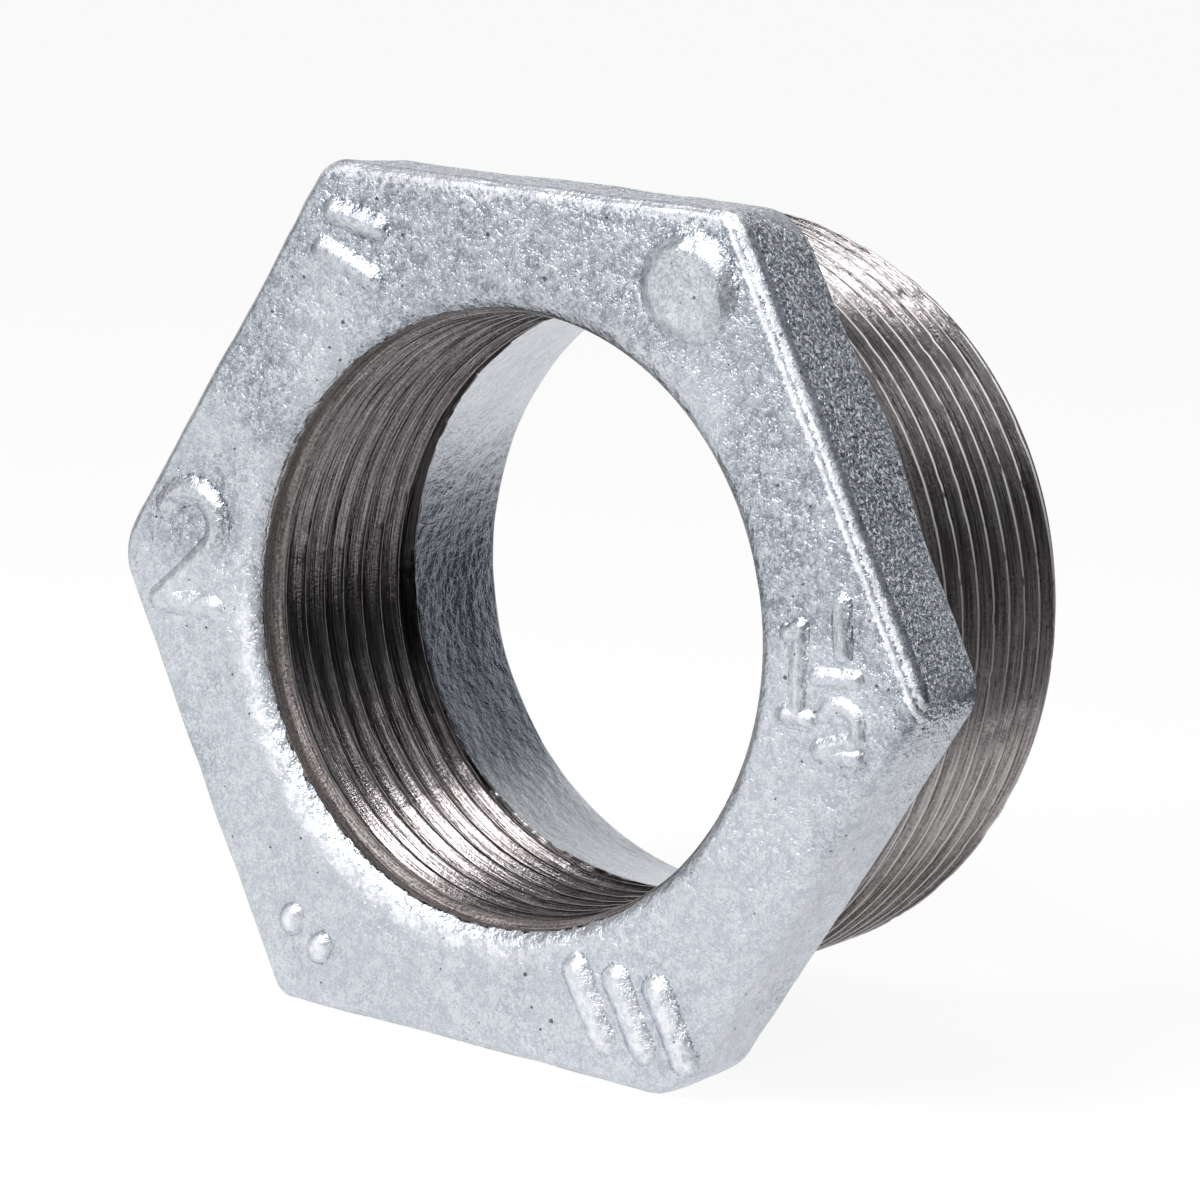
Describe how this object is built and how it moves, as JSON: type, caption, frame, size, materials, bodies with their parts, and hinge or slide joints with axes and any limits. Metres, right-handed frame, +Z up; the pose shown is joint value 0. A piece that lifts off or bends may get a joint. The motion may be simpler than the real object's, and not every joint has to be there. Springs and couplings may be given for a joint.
{
  "type": "hex bushing",
  "caption": "Reducing bushing for threaded pipe: a hexagon head on a taper-threaded barrel that screws into a socket, with a threaded bore for a smaller pipe.",
  "frame": {"origin": "on the axis, in the plane of the head's back face, where the barrel starts", "axes": "+Y along the axis, from the head towards the barrel's end; +Z up, square to the hexagon flat that faces down; +X to the right when looking along +Y"},
  "size_m": [0.0736, 0.0322, 0.0644],
  "materials": {
    "galvanised_iron": "hot-dip galvanised casting skin, with both threads cut bare"
  },
  "bodies": {
    "root": {"hex_bushing": "galvanised_iron"}
  },
  "joints": []
}
